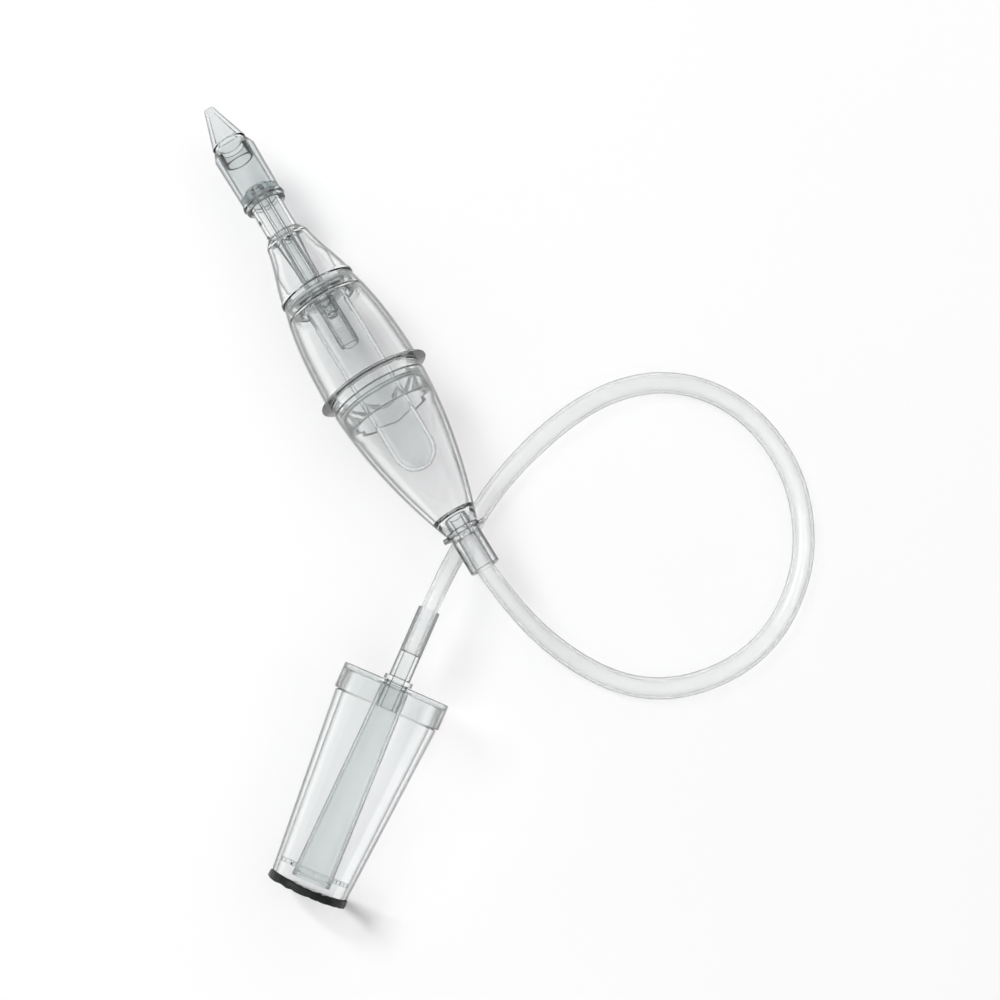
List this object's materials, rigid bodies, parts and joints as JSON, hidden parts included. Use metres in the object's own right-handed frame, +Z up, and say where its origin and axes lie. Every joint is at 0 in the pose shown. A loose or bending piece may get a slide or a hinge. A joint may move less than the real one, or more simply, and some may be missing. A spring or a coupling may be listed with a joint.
{
  "type": "nasal aspirator",
  "caption": "Clear nasal aspirator head with nozzle, cup and push-fit chamber shells, on a soft hose to a conical vacuum adapter.",
  "frame": {"origin": "centre of the head's box on the surface it lies on, under its axis", "axes": "+X along the head from the nozzle to the hose socket, +Z up, the head's round lip resting on Z = 0"},
  "size_m": [0.2539, 0.2171, 0.039],
  "materials": {
    "clear_plastic": "clear, faintly green, polished",
    "soft_seal": "smooth translucent",
    "soft_hose": "soft, milky, translucent",
    "dark_ring": "smooth dark"
  },
  "bodies": {
    "rear": {"rear_shell": "clear_plastic", "outlet_socket": "clear_plastic", "hose": "soft_hose", "adapter_stem": "clear_plastic", "adapter_lid": "clear_plastic", "adapter_cone": "clear_plastic", "adapter_inner_tube": "clear_plastic", "adapter_support": "clear_plastic", "adapter_end_ring": "dark_ring"},
    "middle": {"middle_shell": "clear_plastic", "joint_seal": "soft_seal"},
    "neck": {"neck_cone": "clear_plastic", "inlet_tube": "clear_plastic", "neck_seal": "soft_seal", "cup_holder": "clear_plastic"},
    "cup": {"collection_cup": "clear_plastic"},
    "nozzle": {"nozzle_tip": "clear_plastic", "nozzle_barrel": "clear_plastic", "nozzle_tube": "clear_plastic"}
  },
  "joints": [
    {"name": "chamber_pull", "type": "slide", "parent": "rear", "child": "middle", "axis": [-1, 0, 0], "range_m": [0, 0.05]},
    {"name": "neck_pull", "type": "slide", "parent": "middle", "child": "neck", "axis": [-1, 0, 0], "range_m": [0, 0.08]},
    {"name": "cup_pull", "type": "slide", "parent": "neck", "child": "cup", "axis": [1, 0, 0], "range_m": [0, 0.032]},
    {"name": "nozzle_pull", "type": "slide", "parent": "neck", "child": "nozzle", "axis": [-1, 0, 0], "range_m": [0, 0.055]}
  ],
  "couplings": [
    {"joint": "cup_pull", "follows": "neck_pull", "ratio": 0.4}
  ]
}
